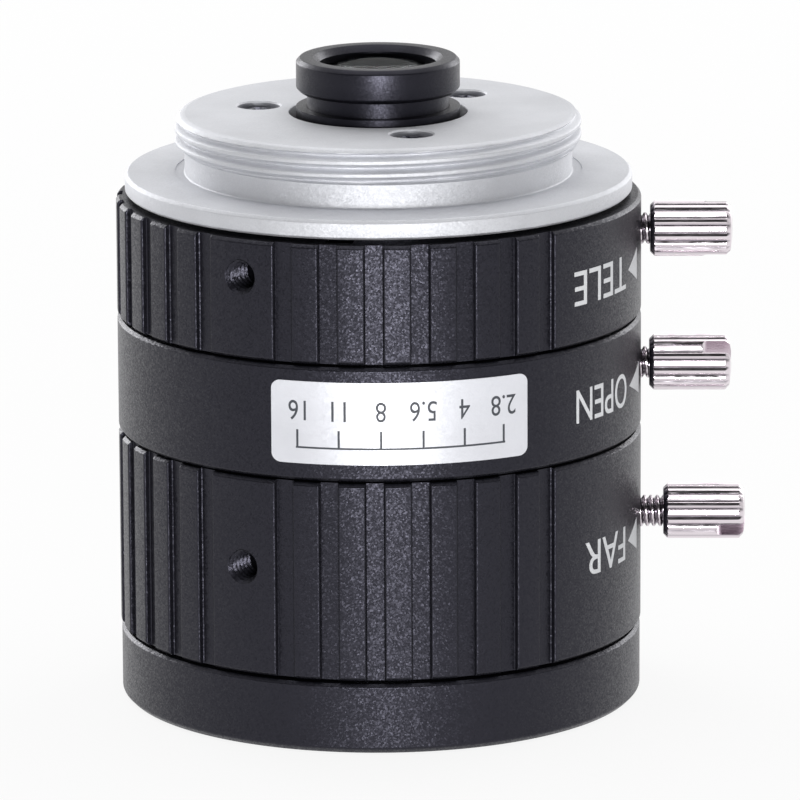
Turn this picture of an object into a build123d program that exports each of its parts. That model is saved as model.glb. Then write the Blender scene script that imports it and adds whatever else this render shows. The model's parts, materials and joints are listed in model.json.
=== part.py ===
from build123d import *
import os
from math import atan2, copysign, cos, degrees, radians, sin, sqrt

# A manual C-mount varifocal lens standing on its front bezel, in millimetres.
# The optical axis is Z, the front face is z = 0, and +Z points to the camera.
# The three lock screws point along +X. Angles are degrees about Z from +X.
os.makedirs("parts", exist_ok=True)

# Fits shared by several pieces
slide_fit = 0.08          # radial gap between a sliding or turning ring and its seat
locate_fit = 0.05         # radial gap of a fixed spigot in its bore
thread_fit = 0.03         # radial gap of a plain screw body in its tapped hole
pin_fit = 0.05            # gap on each side of a pin in a slot
seat_gap = 0.05           # axial play left on a turning piece
glass_fit = 0.03          # gap all round a lens in its seat
cut_margin = 1.0          # how far a cutter reaches past the faces it opens

# Control rings, stacked along the barrel from the front
ring_radius = 16.45
ring_wall = 2.37
focus_ring_height = 12.45
iris_ring_height = 7.14
zoom_ring_height = 7.42
ring_gap = 0.15
bezel_gap = 0.2
flange_gap = 0.27
ring_chamfer = 0.2
flute_pitch = 10.0        # degrees
flute_width = 1.15
flute_depth = 0.4
plain_half_angle = 40.0   # half of the smooth marked field, centred on +X
spare_hole_angle = 120.0  # spare tapped holes, each side of the lock screw

# Front bezel with the filter thread
bezel_step = 0.05         # the bezel stands in from the rings
bezel_height = 4.45
bezel_edge = 0.35
filter_wall = 1.4         # leaves the core of M30.5 x 0.5
filter_depth = 2.3
bezel_lip = 0.4
bezel_lip_reach = 0.65    # how far the lip stands in over the barrel's front edge

# Barrel bores
barrel_rear_wall = 1.1
barrel_front_wall = 0.85
iris_seat_inset = 1.1     # iris seat below the top of the iris ring
rear_web = 0.84
spigot_radius = 10.4
spigot_wall = 1.0
rear_plate = 1.9
stem_hole_radius = 5.55

# Camera mount: 1 inch - 32 thread
mount_flange_radius = 15.88
mount_flange_height = 1.21
mount_edge = 0.15
mount_height = 3.72       # flange face to the end of the thread
mount_thread_radius = 12.7
mount_relief_radius = 12.12
mount_relief_height = 1.5
mount_thread_chamfer = 0.6
mount_seat_inset = 0.05   # the seating face starts this far outside the thread
mount_seat_step = 0.06    # and stands this high above the undercut
mount_hole_radius = 5.57
mount_plate = 2.0

# Mount screws
mount_screw_count = 3
mount_screw_circle = 7.75
mount_screw_angle = -73.6
mount_screw_radius = 0.8
mount_screw_head_radius = 1.3
mount_screw_head_height = 0.6
mount_screw_edge = 0.15
mount_screw_recess = 0.25
mount_screw_reach = 3.3
mount_screw_slot_width = 0.4
mount_screw_slot_depth = 0.25

# Lock screws, M2
lock_radius = 1.0
lock_stud_length = 1.95
lock_head_radius = 1.74
lock_head_length = 5.05
lock_head_chamfer = 0.28
lock_head_dome = 0.12
lock_slot_width = 0.85
lock_slot_depth = 1.8
lock_knurls = 20
lock_knurl_depth = 0.13
lock_knurl_width = 0.3
tip_radius = 0.8
tip_length = 0.8
tip_peg_radius = 0.45
tip_peg_length = 0.6
zoom_lock_height = 5.1    # above the foot of its ring
iris_lock_height = 3.79
focus_lock_height = 6.75
zoom_tip_gap = 0.25       # tip to barrel as the screw stands
iris_tip_gap = 0.21
focus_tip_gap = 1.12
zoom_slot_angle = 105.0   # direction of the driver slot, from -Y towards +Z
iris_slot_angle = 47.0
focus_slot_angle = -34.0

# Zoom and focus drives: three guide pins in straight barrel slots and ring cams
guide_pins = 3
guide_pin_angle = 60.0
guide_pin_radius = 0.8
guide_pin_stand = 1.2     # pin end above the barrel
guide_pin_depth = 2.2
cam_floor_gap = 0.1
cam_end = 1.0             # length of groove past the pin at each limit
zoom_turn = 76.0
zoom_travel = 4.0
zoom_pin_height = 3.35    # above the foot of the zoom ring
focus_turn = 76.0
focus_travel = -3.2
focus_pin_height = 5.95

# Iris
iris_turn = 54.0
blade_swing = 30.0
blade_count = 6
blade_thickness = 0.08
blade_pitch = 0.12
blade_root_angle = 5.1
blade_arc = 100.0
blade_pivot_inset = 2.55  # pivots inside the front bore
blade_outer_inset = 1.3   # outer edge of a blade inside the pivots
blade_inner_inset = 4.7
blade_pin_radius = 0.4
blade_pin_engagement = 0.75
blade_lever = 3.2
blade_lever_angle = 78.0  # lever from the outward radius, at full aperture
blade_tab = 0.85
aperture_inset = 5.0      # edge of the fixed opening inside the pivots
iris_base_thickness = 1.0
actuator_thickness = 2.6
actuator_inset = 4.4      # bore of the actuator inside the pivots
actuator_groove = 1.0
drive_pin_radius = 0.6
drive_pin_height = 0.85   # above the actuator's front face
drive_pin_depth = 1.9
iris_retainer_height = 1.1
iris_retainer_wall = 1.9

# Zoom group
carrier_front = 2.3       # disc below the guide pins
carrier_rear = 1.2        # disc above the guide pins
stem_radius = 5.13
stem_stand = 0.35         # stem top above the mount's end face
cell_head_radius = 5.12
cell_neck_radius = 4.45
cell_neck_height = 0.98
cell_head_height = 2.12
cell_edge = 0.25
cell_wall = 0.55
cell_lip_radius = 3.65
cell_lip_thickness = 0.45
cell_bevel = 0.4
rear_lens_edge = 1.15
rear_lens_sag = 0.65
rear_spacer_height = 1.0
rear_crown_edge = 1.3
rear_crown_sag = 0.2
cement_sag = 0.55         # curve of the cemented face between crown and flint
cement_gap = 0.02
rear_flint_edge = 1.5
rear_flint_sag = -0.3
retaining_height = 1.0
retaining_wall = 0.7
spanner_slot = 0.8
zoom_lens_radius = 6.9
zoom_lens_edge = 1.4
zoom_lens_inset = 1.0
zoom_lens_front_sag = -0.5
zoom_lens_rear_sag = 0.45
zoom_lens_ring_wall = 0.9
zoom_land_radius = 4.1

# Focus group
front_cell_front = 7.4    # cell in front of the guide pins
front_cell_rear = 4.8     # cell behind the guide pins
front_cell_wall = 1.47
front_lens_edge = 2.9
front_lens_sag = 1.45
front_lens_hollow = 3.0
front_lens_rim = 2.85     # flat rim behind the front lens
front_ring_wall = 1.4
front_ring_height = 1.2
front_ring_inset = 0.5
front_land = 1.1
front_land_step = 2.8
inner_lens_step = 2.2     # inner lenses are this much smaller than the front one
inner_lens_rim = 0.8
middle_lens_edge = 2.4
middle_lens_hollow = 0.75
inner_spacer_height = 0.6
inner_lens_edge = 1.3
inner_lens_sag = 0.8
inner_ring_height = 0.9

# Label foil on the iris ring
label_angle = -84.1
label_width = 16.4
label_height = 5.15
label_foot = 1.09
label_corner = 0.55
label_thickness = 0.08

# Heights worked out from the stack
focus_foot = bezel_height + bezel_gap
focus_top = focus_foot + focus_ring_height
iris_foot = focus_top + ring_gap
iris_top = iris_foot + iris_ring_height
zoom_foot = iris_top + ring_gap
zoom_top = zoom_foot + zoom_ring_height
flange_foot = zoom_top + flange_gap
flange_top = flange_foot + mount_flange_height
mount_top = flange_top + mount_height
plate_foot = mount_top - mount_plate
barrel_foot = filter_depth + bezel_lip
iris_seat = iris_top - iris_seat_inset
iris_base_foot = iris_seat - iris_base_thickness
blade_top = iris_base_foot - seat_gap
actuator_top = blade_top - blade_pitch * (blade_count - 1) - blade_thickness - seat_gap
actuator_foot = actuator_top - actuator_thickness
drive_pin_z = actuator_foot + drive_pin_height
zoom_pin_z = zoom_foot + zoom_pin_height
focus_pin_z = focus_foot + focus_pin_height
zoom_lock_z = zoom_foot + zoom_lock_height
iris_lock_z = iris_foot + iris_lock_height
focus_lock_z = focus_foot + focus_lock_height

# Radii worked out from the walls and fits
ring_bore = ring_radius - ring_wall
barrel_radius = ring_bore - slide_fit
rear_bore_radius = barrel_radius - barrel_rear_wall
front_bore_radius = barrel_radius - barrel_front_wall
bezel_radius = ring_radius - bezel_step
filter_radius = bezel_radius - filter_wall
bezel_lip_radius = barrel_radius - bezel_lip_reach
mount_seat_radius = mount_thread_radius + mount_seat_inset
guide_pin_reach = barrel_radius + guide_pin_stand
cam_floor = guide_pin_reach + cam_floor_gap
pin_slot_width = 2 * (guide_pin_radius + pin_fit)
carrier_radius = rear_bore_radius - slide_fit
front_cell_radius = front_bore_radius - slide_fit
actuator_radius = front_bore_radius - slide_fit
cell_bore = cell_neck_radius - cell_wall
blade_pivot_circle = front_bore_radius - blade_pivot_inset
blade_outer = blade_pivot_circle - blade_outer_inset
blade_inner = blade_pivot_circle - blade_inner_inset
iris_aperture = blade_pivot_circle - aperture_inset
actuator_inner = blade_pivot_circle - actuator_inset
front_lens_radius = front_cell_radius - front_cell_wall
front_lens_hollow_radius = front_lens_radius - front_lens_rim
front_land_radius = front_lens_radius - front_land_step
inner_lens_radius = front_lens_radius - inner_lens_step
inner_clear_radius = inner_lens_radius - inner_lens_rim
guide_angles = [guide_pin_angle + 360 / guide_pins * i for i in range(guide_pins)]


def turned(*profile):
    """A piece turned about Z from a closed profile of (radius, height) points."""
    return revolve(Plane.XZ * make_face(Polyline(*profile, close=True)), Axis.Z)


def collar(inner, outer, foot, top, edge=0.0):
    """A turned ring with both outer edges chamfered."""
    if edge == 0:
        return turned((inner, foot), (outer, foot), (outer, top), (inner, top))
    return turned(
        (inner, foot), (outer - edge, foot), (outer, foot + edge),
        (outer, top - edge), (outer - edge, top), (inner, top),
    )


def rod(radius, start, end, angle, height):
    """A round bar pointing outward from the axis, between two distances from it."""
    outward = Plane(origin=(0, 0, height), z_dir=(cos(radians(angle)), sin(radians(angle)), 0))
    return outward * Pos(0, 0, start) * Cylinder(
        radius, end - start, align=(Align.CENTER, Align.CENTER, Align.MIN)
    )


def lens_surface(clear, edge, sag):
    """The arc from the rim of a lens surface to its vertex, which stands sag above the rim."""
    curve = (clear ** 2 + sag ** 2) / (2 * abs(sag))
    drop = curve - sqrt(curve ** 2 - clear ** 2 / 4)
    return ThreePointArc((clear, edge), (clear / 2, edge + sag - copysign(drop, sag)), (0, edge + sag))


def lens(radius, foot, top, front_clear, front_sag, rear_clear, rear_sag):
    """A lens with flat rims. A positive sag bulges outward, and a negative one is hollow."""
    outline = Curve() + [
        lens_surface(front_clear, foot, -front_sag),
        Polyline((front_clear, foot), (radius, foot), (radius, top), (rear_clear, top)),
        lens_surface(rear_clear, top, rear_sag),
        Line((0, top + rear_sag), (0, foot - front_sag)),
    ]
    return revolve(Plane.XZ * make_face(outline), Axis.Z)


def spanner_ring(radius, wall, foot, top, slot_side):
    """A threaded retaining ring with two spanner slots across one face."""
    ring = collar(radius - wall, radius, foot, top)
    slot_z = foot if slot_side < 0 else top
    return ring - Pos(0, 0, slot_z) * Box(2 * (radius + cut_margin), spanner_slot, top - foot)


def axial_slot(inner, outer, width, angle, low, high):
    """A round-ended cutter along Z through a wall, between two centre heights."""
    outward = Plane(origin=(0, 0, (low + high) / 2), x_dir=(0, 0, 1),
                    z_dir=(cos(radians(angle)), sin(radians(angle)), 0))
    start = outward.offset(inner)
    return extrude(start * SlotCenterToCenter(high - low, width), outer - inner)


def cam_groove(angle, pin_z, turn, travel, ring_top):
    """The cutter of a helical cam groove, with a lead-in from the ring's rear edge."""
    half = turn / 2 + degrees(cam_end / ring_bore)
    rise = abs(travel) * 2 * half / turn
    falling = travel > 0
    path = Edge.make_helix(rise * 360 / (2 * half), rise, ring_bore, lefthand=falling)
    depth = cam_floor - ring_bore + slide_fit
    across = Plane(origin=path @ 0, x_dir=(1, 0, 0), z_dir=path % 0)
    profile = across * Pos((cam_floor - ring_bore - slide_fit) / 2, 0) * Rectangle(depth, pin_slot_width)
    groove = sweep(profile, path=path, is_frenet=True)
    start = angle + half if falling else angle - half
    groove = Rot(0, 0, start) * (Pos(0, 0, pin_z - rise / 2) * groove)
    entry_angle = angle - copysign(turn / 2, travel)
    entry_z = pin_z + abs(travel) / 2
    entry_depth = cam_floor + cam_floor_gap - barrel_radius
    entry_length = ring_top + cut_margin - entry_z
    entry = Pos(barrel_radius + entry_depth / 2, 0, entry_z + entry_length / 2) * Box(
        entry_depth, pin_slot_width, entry_length)
    return [groove, Rot(0, 0, entry_angle) * entry]


def flute_cutters(foot, height):
    """The flutes of a grip ring: all round but for the marked field and the spare holes."""
    cutters = []
    for i in range(round(360 / flute_pitch)):
        angle = i * flute_pitch
        off_centre = abs((angle + 180) % 360 - 180)
        if off_centre > plain_half_angle and off_centre != spare_hole_angle:
            flute = Pos(ring_radius, 0, foot + height / 2) * Box(
                2 * flute_depth, flute_width, height + 2 * cut_margin)
            cutters.append(Rot(0, 0, angle) * flute)
    return cutters


def tapped_hole(angle, height):
    return rod(lock_radius + thread_fit, barrel_radius, ring_radius + cut_margin, angle, height)


def grip_ring(foot, height, lock_z, pin_z, turn, travel):
    """A fluted control ring with its cams and its three tapped holes."""
    ring = collar(ring_bore, ring_radius, foot, foot + height, ring_chamfer)
    ring -= flute_cutters(foot, height)
    for angle in (0, spare_hole_angle, -spare_hole_angle):
        ring -= tapped_hole(angle, lock_z)
    for angle in guide_angles:
        for cutter in cam_groove(angle, pin_z, turn, travel, foot + height):
            ring -= cutter
    return ring


def build_iris_ring():
    """The smooth ring, with its lock hole and the keyway for the drive pin."""
    ring = collar(ring_bore, ring_radius, iris_foot, iris_top, ring_chamfer)
    ring -= tapped_hole(0, iris_lock_z)
    ring -= axial_slot(ring_bore - slide_fit, cam_floor, 2 * (drive_pin_radius + pin_fit), 180,
                       drive_pin_z, iris_top)
    return ring


def build_barrel():
    """The fixed tube that everything is carried by."""
    barrel = turned(
        (front_bore_radius, barrel_foot), (barrel_radius, barrel_foot),
        (barrel_radius, flange_foot), (spigot_radius, flange_foot),
        (spigot_radius, plate_foot), (stem_hole_radius, plate_foot),
        (stem_hole_radius, plate_foot - rear_plate), (spigot_radius - spigot_wall, plate_foot - rear_plate),
        (spigot_radius - spigot_wall, flange_foot - rear_web), (rear_bore_radius, flange_foot - rear_web),
        (rear_bore_radius, iris_seat), (front_bore_radius, iris_seat),
    )
    for angle in guide_angles:
        for pin_z, travel in ((zoom_pin_z, zoom_travel), (focus_pin_z, focus_travel)):
            half = abs(travel) / 2 + pin_fit
            barrel -= axial_slot(rear_bore_radius - cut_margin, barrel_radius + cut_margin,
                                 pin_slot_width, angle, pin_z - half, pin_z + half)
    window = Plane.XZ * Pos(barrel_radius, drive_pin_z) * Rectangle(
        2 * (barrel_front_wall + cut_margin), 2 * (drive_pin_radius + pin_fit))
    window_angle = iris_turn + 2 * degrees(cam_end / barrel_radius)
    barrel -= Rot(0, 0, 180 - window_angle / 2) * revolve(window, Axis.Z, revolution_arc=window_angle)
    for place in mount_screw_places():
        barrel -= place * Pos(0, 0, plate_foot) * Cylinder(
            mount_screw_radius + thread_fit, 2 * (rear_plate + cut_margin))
    return barrel


def mount_screw_places():
    step = 360 / mount_screw_count
    return [Rot(0, 0, mount_screw_angle + i * step) * Pos(mount_screw_circle, 0, 0)
            for i in range(mount_screw_count)]


def build_c_mount():
    """The camera mount: flange, undercut, relief and thread, shown at its crest size."""
    mount = turned(
        (spigot_radius + locate_fit, flange_foot), (mount_flange_radius - mount_edge, flange_foot),
        (mount_flange_radius, flange_foot + mount_edge), (mount_flange_radius, flange_top - mount_edge),
        (mount_flange_radius - mount_edge, flange_top), (mount_seat_radius, flange_top),
        (mount_seat_radius, flange_top - mount_seat_step),
        (mount_relief_radius, flange_top - mount_seat_step),
        (mount_relief_radius, flange_top + mount_relief_height),
        (mount_thread_radius, flange_top + mount_relief_height),
        (mount_thread_radius, mount_top - mount_thread_chamfer),
        (mount_thread_radius - mount_thread_chamfer, mount_top), (mount_hole_radius, mount_top),
        (mount_hole_radius, plate_foot), (spigot_radius + locate_fit, plate_foot),
    )
    sink = mount_screw_recess + mount_screw_head_height
    for place in mount_screw_places():
        mount -= place * Pos(0, 0, mount_top) * Cylinder(
            mount_screw_radius + locate_fit, 2 * (mount_plate + cut_margin))
        mount -= place * Pos(0, 0, mount_top - sink / 2) * Cylinder(
            mount_screw_head_radius + locate_fit, sink)
    return mount


def build_mount_screws():
    """Cross-slotted screws with cylindrical heads, sunk below the end face of the mount."""
    head_top = mount_top - mount_screw_recess
    head_foot = head_top - mount_screw_head_height
    screw = turned(
        (0, head_foot - mount_screw_reach), (mount_screw_radius, head_foot - mount_screw_reach),
        (mount_screw_radius, head_foot), (mount_screw_head_radius, head_foot),
        (mount_screw_head_radius, head_top - mount_screw_edge),
        (mount_screw_head_radius - mount_screw_edge, head_top),
        (0, head_top),
    )
    driver = Box(2 * (mount_screw_head_radius + cut_margin), mount_screw_slot_width,
                 2 * mount_screw_slot_depth)
    cross = Pos(0, 0, head_top) * (driver + Rot(0, 0, 90) * driver)
    return [place * (screw - cross) for place in mount_screw_places()]


def build_bezel():
    """The front ring: filter thread in front, screwed on the barrel behind."""
    inner = barrel_radius + thread_fit
    bezel = turned(
        (filter_radius, 0), (bezel_radius - bezel_edge, 0), (bezel_radius, bezel_edge),
        (bezel_radius, bezel_height - ring_chamfer), (bezel_radius - ring_chamfer, bezel_height),
        (inner, bezel_height), (inner, barrel_foot), (bezel_lip_radius, barrel_foot),
        (bezel_lip_radius, filter_depth), (filter_radius, filter_depth),
    )
    return bezel


def lock_screw(height, tip_gap, slot_angle):
    """A knurled thumb screw on +X, with a driver slot and a bore for its tip."""
    foot = barrel_radius + tip_gap + tip_length
    neck = foot + lock_stud_length
    end = neck + lock_head_length
    flat = lock_head_radius - lock_head_chamfer
    outline = Curve() + [
        Polyline((0, foot), (lock_radius, foot), (lock_radius, neck), (flat, neck),
                 (lock_head_radius, neck + lock_head_chamfer), (lock_head_radius, end - lock_head_chamfer),
                 (flat, end)),
        ThreePointArc((flat, end), (flat / 2, end + lock_head_dome * 3 / 4), (0, end + lock_head_dome)),
        Line((0, end + lock_head_dome), (0, foot)),
    ]
    screw = revolve(Plane.XZ * make_face(outline), Axis.Z)
    notch_mouth = lock_head_radius + lock_knurl_depth
    notch = Polyline((lock_head_radius - lock_knurl_depth, 0), (notch_mouth, lock_knurl_width),
                     (notch_mouth, -lock_knurl_width), close=True)
    cutter = Pos(0, 0, neck - cut_margin) * extrude(make_face(notch), lock_head_length + 2 * cut_margin)
    screw -= [Rot(0, 0, 360 / lock_knurls * i) * cutter for i in range(lock_knurls)]
    screw -= Rot(0, 0, -slot_angle) * Pos(0, 0, end) * Box(
        2 * (lock_head_radius + cut_margin), lock_slot_width, 2 * lock_slot_depth)
    screw -= Pos(0, 0, foot) * Cylinder(tip_peg_radius + pin_fit, 2 * (tip_peg_length + pin_fit))
    return Plane(origin=(0, 0, height), x_dir=(0, -1, 0), z_dir=(1, 0, 0)) * screw


def lock_tip(height, tip_gap):
    """The soft tip between a lock screw and the barrel, pegged into the screw."""
    foot = barrel_radius + tip_gap
    face = foot + tip_length - thread_fit
    peg = rod(tip_peg_radius, foot, face + tip_peg_length, 0, height)
    return rod(tip_radius, foot, face, 0, height) + peg


def guide_pin_set(height, depth_radius):
    return [rod(guide_pin_radius, depth_radius, guide_pin_reach, angle, height) for angle in guide_angles]


# Iris: each blade turns by blade_swing while the actuator turns by iris_turn.
# The groove that drives it is the path of the blade's drive pin seen from the actuator.
def drive_pin_place(swing):
    """Where a blade's drive pin stands when the blade has closed by swing degrees."""
    lever = radians(blade_lever_angle + swing)
    return blade_pivot_circle + blade_lever * cos(lever), blade_lever * sin(lever)


def build_blade(index):
    """One thin crescent in its own plane, with a pivot pin to the rear and a drive pin to the front."""
    top = blade_top - index * blade_pitch
    foot = top - blade_thickness
    mean = (blade_inner + blade_outer) / 2
    leaf = Circle(blade_outer) - Circle(blade_inner)
    sheet = 4 * blade_outer
    cut_half = Pos(0, -sheet / 2) * Rectangle(sheet, sheet)
    leaf -= Rot(0, 0, -blade_root_angle) * cut_half
    leaf -= Rot(0, 0, blade_arc + 180) * cut_half
    leaf += Rot(0, 0, blade_arc) * Pos(mean, 0) * Circle((blade_outer - blade_inner) / 2)
    pin_x, pin_y = drive_pin_place(0)
    web_end = degrees(atan2(pin_y, pin_x))
    web = Circle(blade_pivot_circle) - Circle(mean)
    web -= cut_half
    web -= Rot(0, 0, web_end + 180) * cut_half
    arm = SlotCenterToCenter(blade_lever, 2 * blade_tab)
    middle = Pos((blade_pivot_circle + pin_x) / 2, pin_y / 2)
    leaf += [web, middle * Rot(0, 0, blade_lever_angle) * arm]
    blade = Pos(0, 0, foot) * extrude(leaf, blade_thickness)
    pivot_top = iris_base_foot + blade_pin_engagement
    drive_foot = actuator_top - blade_pin_engagement
    base = (Align.CENTER, Align.CENTER, Align.MIN)
    blade += Pos(blade_pivot_circle, 0, foot) * Cylinder(blade_pin_radius, pivot_top - foot, align=base)
    blade += Pos(pin_x, pin_y, drive_foot) * Cylinder(blade_pin_radius, top - drive_foot, align=base)
    closed = Pos(blade_pivot_circle, 0) * Rot(0, 0, blade_swing / 2) * Pos(-blade_pivot_circle, 0)
    return Rot(0, 0, index * 360 / blade_count) * closed * blade


def build_iris_base():
    base = collar(iris_aperture, front_bore_radius - locate_fit, iris_base_foot, iris_seat)
    for i in range(blade_count):
        hole = Pos(blade_pivot_circle, 0, iris_base_foot) * Cylinder(
            blade_pin_radius + pin_fit, 2 * (iris_base_thickness + cut_margin))
        base -= Rot(0, 0, i * 360 / blade_count) * hole
    return base


def build_actuator():
    """The turning ring with six cam grooves in its rear face and a radial drive hole."""
    ring = collar(actuator_inner, actuator_radius, actuator_foot, actuator_top)
    points = []
    for share in (0, 0.5, 1):
        x, y = drive_pin_place(share * blade_swing)
        turn = radians((0.5 - share) * iris_turn)
        points.append((x * cos(turn) - y * sin(turn), x * sin(turn) + y * cos(turn)))
    groove = SlotArc(ThreePointArc(*points), 2 * (blade_pin_radius + pin_fit))
    cutter = Pos(0, 0, actuator_top - actuator_groove) * extrude(groove, 2 * actuator_groove)
    for i in range(blade_count):
        ring -= Rot(0, 0, i * 360 / blade_count) * cutter
    ring -= rod(drive_pin_radius + thread_fit, actuator_radius - drive_pin_depth,
                actuator_radius + cut_margin, 180, drive_pin_z)
    return ring


def build_drive_pin():
    return rod(drive_pin_radius, actuator_radius - drive_pin_depth, guide_pin_reach, 180, drive_pin_z)


def build_iris_retainer():
    top = actuator_foot - seat_gap
    return spanner_ring(front_bore_radius - thread_fit, iris_retainer_wall,
                        top - iris_retainer_height, top, -1)


def build_label():
    """A thin foil with round corners, wrapped on the iris ring."""
    foil = collar(ring_radius, ring_radius + label_thickness, iris_foot, iris_top)
    half_angle = label_width / 2 / ring_radius
    outline = RectangleRounded(2 * ring_radius * sin(half_angle), label_height, label_corner)
    middle = iris_foot + label_foot + label_height / 2
    outward = Plane(origin=(0, 0, middle), x_dir=(0, 1, 0), z_dir=(1, 0, 0))
    stamp = extrude(outward.offset(ring_radius / 2) * outline, ring_radius)
    return Rot(0, 0, label_angle) * (foil & stamp)


# Zoom group heights, from the rear
stem_top = mount_top + stem_stand
cell_shoulder = stem_top + cell_neck_height
cell_top = cell_shoulder + cell_head_height
lip_foot = cell_top - cell_bevel - cell_lip_thickness
cell_glass_radius = cell_bore - glass_fit
cell_clear_radius = cell_bore - retaining_wall
rear_lens_top = lip_foot
rear_lens_foot = rear_lens_top - rear_lens_edge
rear_spacer_foot = rear_lens_foot - rear_spacer_height
crown_foot = rear_spacer_foot - rear_crown_edge
flint_foot = crown_foot - rear_flint_edge
rear_ring_foot = flint_foot - retaining_height
cell_foot = rear_ring_foot - seat_gap
carrier_foot = zoom_pin_z - carrier_front
carrier_top = zoom_pin_z + carrier_rear
zoom_lens_foot = carrier_foot + zoom_lens_inset
zoom_lens_top = zoom_lens_foot + zoom_lens_edge


def build_zoom_carrier():
    """The disc that the zoom pins move, with the stem that holds the rear cell."""
    socket = cell_neck_radius + thread_fit
    carrier = turned(
        (zoom_lens_radius + glass_fit, carrier_foot), (carrier_radius, carrier_foot),
        (carrier_radius, carrier_top), (stem_radius, carrier_top), (stem_radius, stem_top),
        (socket, stem_top), (socket, cell_foot), (zoom_land_radius, cell_foot),
        (zoom_land_radius, zoom_lens_top), (zoom_lens_radius + glass_fit, zoom_lens_top),
    )
    for angle in guide_angles:
        carrier -= rod(guide_pin_radius + thread_fit, carrier_radius - guide_pin_depth,
                       carrier_radius + cut_margin, angle, zoom_pin_z)
    return carrier


def build_rear_cell():
    """The tube that ends the lens, with a grooved neck above the mount."""
    edge = cell_edge
    return turned(
        (cell_bore, cell_foot), (cell_neck_radius, cell_foot), (cell_neck_radius, cell_shoulder),
        (cell_head_radius - edge, cell_shoulder), (cell_head_radius, cell_shoulder + edge),
        (cell_head_radius, cell_top - edge), (cell_head_radius - edge, cell_top),
        (cell_lip_radius + cell_bevel, cell_top), (cell_lip_radius, cell_top - cell_bevel),
        (cell_lip_radius, lip_foot), (cell_bore, lip_foot),
    )


def build_rear_lens():
    return lens(cell_glass_radius, rear_lens_foot, rear_lens_top, cell_clear_radius, rear_lens_sag,
                cell_lip_radius - glass_fit, rear_lens_sag)


def build_rear_crown():
    return lens(cell_glass_radius, crown_foot, rear_spacer_foot, cell_clear_radius, cement_sag,
                cell_clear_radius, rear_crown_sag)


def build_rear_flint():
    """The hollow half of the cemented pair, with the same curve as the crown."""
    return lens(cell_glass_radius, flint_foot, crown_foot - cement_gap, cell_clear_radius, rear_flint_sag,
                cell_clear_radius, -cement_sag)


def build_zoom_lens():
    return lens(zoom_lens_radius, zoom_lens_foot, zoom_lens_top, zoom_lens_radius - zoom_lens_ring_wall,
                zoom_lens_front_sag, zoom_land_radius - glass_fit, zoom_lens_rear_sag)


# Focus group heights, from the front
front_cell_foot = focus_pin_z - front_cell_front
front_cell_top = focus_pin_z + front_cell_rear
front_ring_foot = front_cell_foot + front_ring_inset
front_lens_foot = front_ring_foot + front_ring_height
front_lens_top = front_lens_foot + front_lens_edge
front_land_top = front_lens_top + front_land
middle_lens_top = front_land_top + middle_lens_edge
inner_spacer_top = middle_lens_top + inner_spacer_height
inner_lens_top = inner_spacer_top + inner_lens_edge
front_ring_inner = front_lens_radius - front_ring_wall


def build_front_cell():
    """The sliding tube of the focus group, bored from both ends to one land."""
    front = front_lens_radius + glass_fit
    rear = inner_lens_radius + glass_fit
    cell = turned(
        (front, front_cell_foot), (front_cell_radius, front_cell_foot), (front_cell_radius, front_cell_top),
        (rear, front_cell_top), (rear, front_land_top), (front_land_radius, front_land_top),
        (front_land_radius, front_lens_top), (front, front_lens_top),
    )
    for angle in guide_angles:
        cell -= rod(guide_pin_radius + thread_fit, front_cell_radius - guide_pin_depth,
                    front_cell_radius + cut_margin, angle, focus_pin_z)
    return cell


def build_front_lens():
    return lens(front_lens_radius, front_lens_foot, front_lens_top, front_ring_inner - glass_fit,
                front_lens_sag, front_lens_hollow_radius, -front_lens_hollow)


def build_middle_lens():
    return lens(inner_lens_radius, front_land_top, middle_lens_top, inner_clear_radius, -middle_lens_hollow,
                inner_clear_radius, -middle_lens_hollow)


def build_inner_lens():
    return lens(inner_lens_radius, inner_spacer_top, inner_lens_top, inner_clear_radius, inner_lens_sag,
                inner_clear_radius, inner_lens_sag)


parts = {
    "barrel": build_barrel(),
    "c_mount": build_c_mount(),
    "mount_screws": build_mount_screws(),
    "front_bezel": build_bezel(),
    "zoom_ring": grip_ring(zoom_foot, zoom_ring_height, zoom_lock_z, zoom_pin_z, zoom_turn, zoom_travel),
    "focus_ring": grip_ring(focus_foot, focus_ring_height, focus_lock_z, focus_pin_z,
                            focus_turn, focus_travel),
    "iris_ring": build_iris_ring(),
    "iris_label": build_label(),
    "iris_actuator": build_actuator(),
    "iris_drive_pin": build_drive_pin(),
    "iris_base": build_iris_base(),
    "iris_retaining_ring": build_iris_retainer(),
    "zoom_carrier": build_zoom_carrier(),
    "zoom_guide_pins": guide_pin_set(zoom_pin_z, carrier_radius - guide_pin_depth),
    "rear_cell": build_rear_cell(),
    "rear_lens": build_rear_lens(),
    "rear_spacer": collar(cell_clear_radius, cell_glass_radius, rear_spacer_foot, rear_lens_foot),
    "rear_crown_lens": build_rear_crown(),
    "rear_flint_lens": build_rear_flint(),
    "rear_retaining_ring": spanner_ring(cell_glass_radius, retaining_wall, rear_ring_foot, flint_foot, -1),
    "zoom_lens": build_zoom_lens(),
    "zoom_retaining_ring": spanner_ring(zoom_lens_radius, zoom_lens_ring_wall,
                                        carrier_foot, zoom_lens_foot, -1),
    "focus_guide_pins": guide_pin_set(focus_pin_z, front_cell_radius - guide_pin_depth),
    "front_cell": build_front_cell(),
    "front_lens": build_front_lens(),
    "front_retaining_ring": spanner_ring(front_lens_radius, front_ring_wall,
                                         front_ring_foot, front_lens_foot, -1),
    "middle_lens": build_middle_lens(),
    "inner_spacer": collar(inner_clear_radius, inner_lens_radius, middle_lens_top, inner_spacer_top),
    "inner_lens": build_inner_lens(),
    "inner_retaining_ring": spanner_ring(inner_lens_radius, inner_lens_radius - inner_clear_radius,
                                         inner_lens_top, inner_lens_top + inner_ring_height, 1),
}
for i in range(blade_count):
    parts[f"iris_blade_{i + 1}"] = build_blade(i)
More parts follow.
